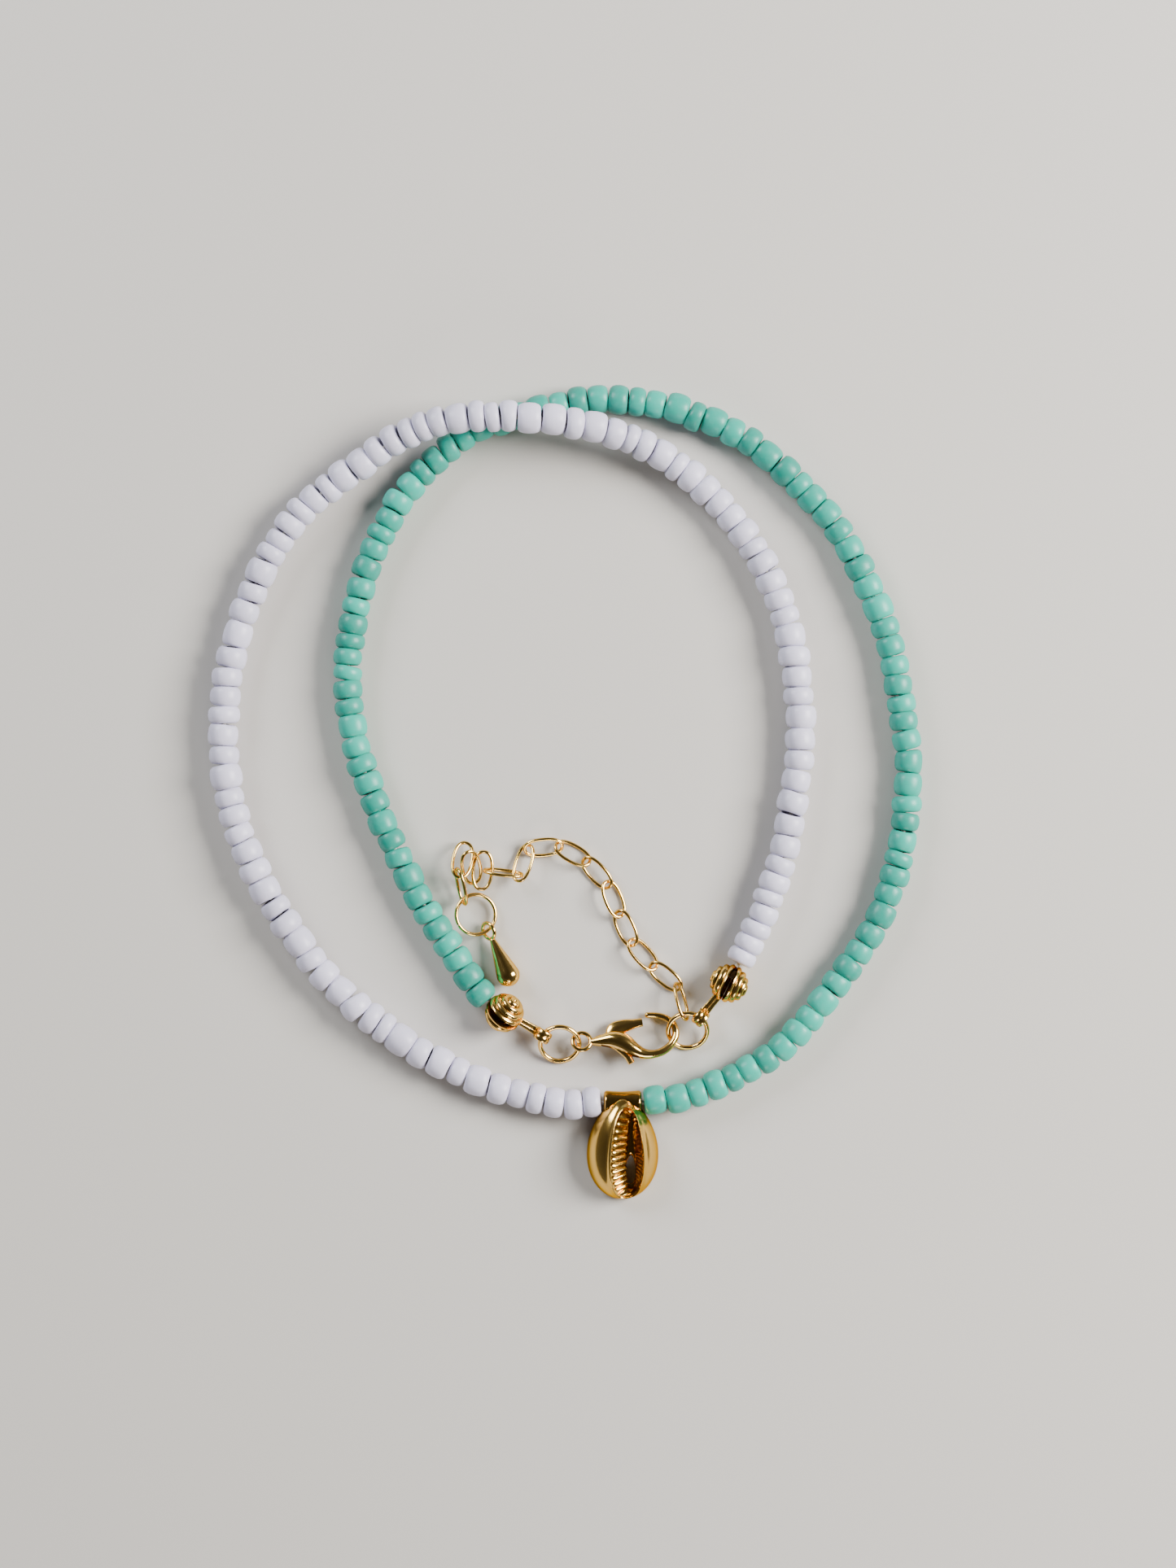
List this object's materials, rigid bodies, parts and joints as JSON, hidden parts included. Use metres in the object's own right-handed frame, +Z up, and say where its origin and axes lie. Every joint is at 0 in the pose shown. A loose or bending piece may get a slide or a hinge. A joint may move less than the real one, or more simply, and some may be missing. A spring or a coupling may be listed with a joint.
{
  "type": "cowrie shell necklace",
  "caption": "Glass seed bead necklace, clasped and laid in crossing loops, with a cast gold cowrie pendant, a lobster clasp and an extender chain with a teardrop charm.",
  "frame": {"origin": "middle of the necklace's box at the height of what it lies on", "axes": "+Z up from the surface that the necklace lies on, +Y from the cowrie to the far side where the strings cross, +X to the right seen from above with the cowrie towards you"},
  "size_m": [0.0834, 0.0952, 0.0071],
  "materials": {
    "turquoise_glass": "opaque, satin",
    "white_glass": "opaque, satin, slightly lavender",
    "gold_plate": "polished pale gold plate"
  },
  "bodies": {
    "necklace": {"turquoise_beads": "turquoise_glass", "white_beads": "white_glass", "cowrie_pendant": "gold_plate", "left_knot_cover": "gold_plate", "right_knot_cover": "gold_plate", "left_jump_ring": "gold_plate", "right_jump_ring": "gold_plate", "clasp_body": "gold_plate", "clasp_rivet": "gold_plate", "chain_link_01": "gold_plate", "chain_link_02": "gold_plate", "chain_link_03": "gold_plate", "chain_link_04": "gold_plate", "chain_link_05": "gold_plate", "chain_link_06": "gold_plate", "chain_link_07": "gold_plate", "chain_link_08": "gold_plate", "chain_link_09": "gold_plate", "chain_link_10": "gold_plate", "chain_link_11": "gold_plate", "chain_link_12": "gold_plate", "chain_link_13": "gold_plate", "chain_link_14": "gold_plate", "end_ring": "gold_plate", "drop_charm": "gold_plate"},
    "lever": {"clasp_lever": "gold_plate"}
  },
  "joints": [
    {"name": "clasp_lever_hinge", "type": "hinge", "parent": "necklace", "child": "lever", "pos_m": [0.00508, -0.02898, 0.0015], "axis": [0, -0.2756, -0.9613], "range_deg": [0, 28], "stiffness_Nm_per_rad": 0.002, "springref_deg": -34.38}
  ]
}
